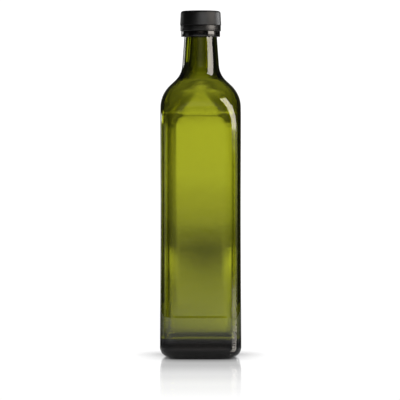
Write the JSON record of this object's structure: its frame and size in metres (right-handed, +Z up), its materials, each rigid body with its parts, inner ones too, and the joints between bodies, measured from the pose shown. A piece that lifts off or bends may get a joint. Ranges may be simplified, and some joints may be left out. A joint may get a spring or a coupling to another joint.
{
  "type": "square glass oil bottle",
  "caption": "Tall square bottle of olive-green glass for oil, with sloping shoulders, a round neck and a black screw cap.",
  "frame": {"origin": "on the table, under the middle of the base", "axes": "+Z up along the bottle, from the base to the cap; +X and +Y square out of two of the four faces"},
  "size_m": [0.0738, 0.0738, 0.3159],
  "materials": {
    "green_glass": "smooth and glossy, olive green",
    "satin_black_plastic": "satin",
    "gloss_black_plastic": "glossy"
  },
  "bodies": {
    "root": {"glass_bottle": "green_glass", "screw_cap": "satin_black_plastic", "tear_band": "satin_black_plastic", "neck_collar": "gloss_black_plastic"}
  },
  "joints": []
}
